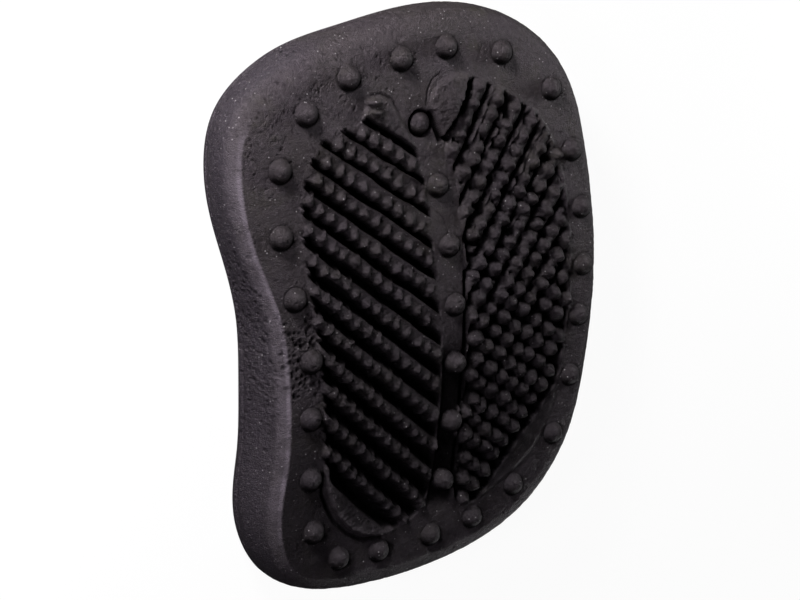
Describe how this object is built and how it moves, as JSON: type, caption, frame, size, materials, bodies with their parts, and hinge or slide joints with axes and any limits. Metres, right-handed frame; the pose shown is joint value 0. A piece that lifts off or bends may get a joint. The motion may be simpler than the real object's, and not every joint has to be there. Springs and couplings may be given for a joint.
{
  "type": "snowboard stomp pad",
  "caption": "Kidney-shaped thick rubber stomp pad with domed studs and a chevron of ribbed, pipped leaves, backed with foam tape and a split peel-off release liner.",
  "frame": {"origin": "centre of the pad's outline box, on the underside of the release liner, where the pad rests", "axes": "+Z out of the tread face, +Y along the long side towards the end with the broad border, +X across towards the convex side"},
  "size_m": [0.1066, 0.1454, 0.0155],
  "materials": {
    "tread_rubber": "moulded, satin black, finely pitted",
    "tape_adhesive": "clear tacky acrylic",
    "tape_foam": "closed-cell foam, matt",
    "liner_paper": "silicone-coated kraft paper, faint sheen"
  },
  "bodies": {
    "pad": {"tread_pad": "tread_rubber", "upper_adhesive_film": "tape_adhesive", "foam_carrier": "tape_foam", "lower_adhesive_film": "tape_adhesive"},
    "liner_left": {"release_liner_left": "liner_paper"},
    "liner_right": {"release_liner_right": "liner_paper"}
  },
  "joints": [
    {"name": "liner_left_peel", "type": "slide", "parent": "pad", "child": "liner_left", "axis": [-1, 0, 0], "range_m": [0, 0.06]},
    {"name": "liner_right_peel", "type": "slide", "parent": "pad", "child": "liner_right", "axis": [1, 0, 0], "range_m": [0, 0.06]}
  ]
}
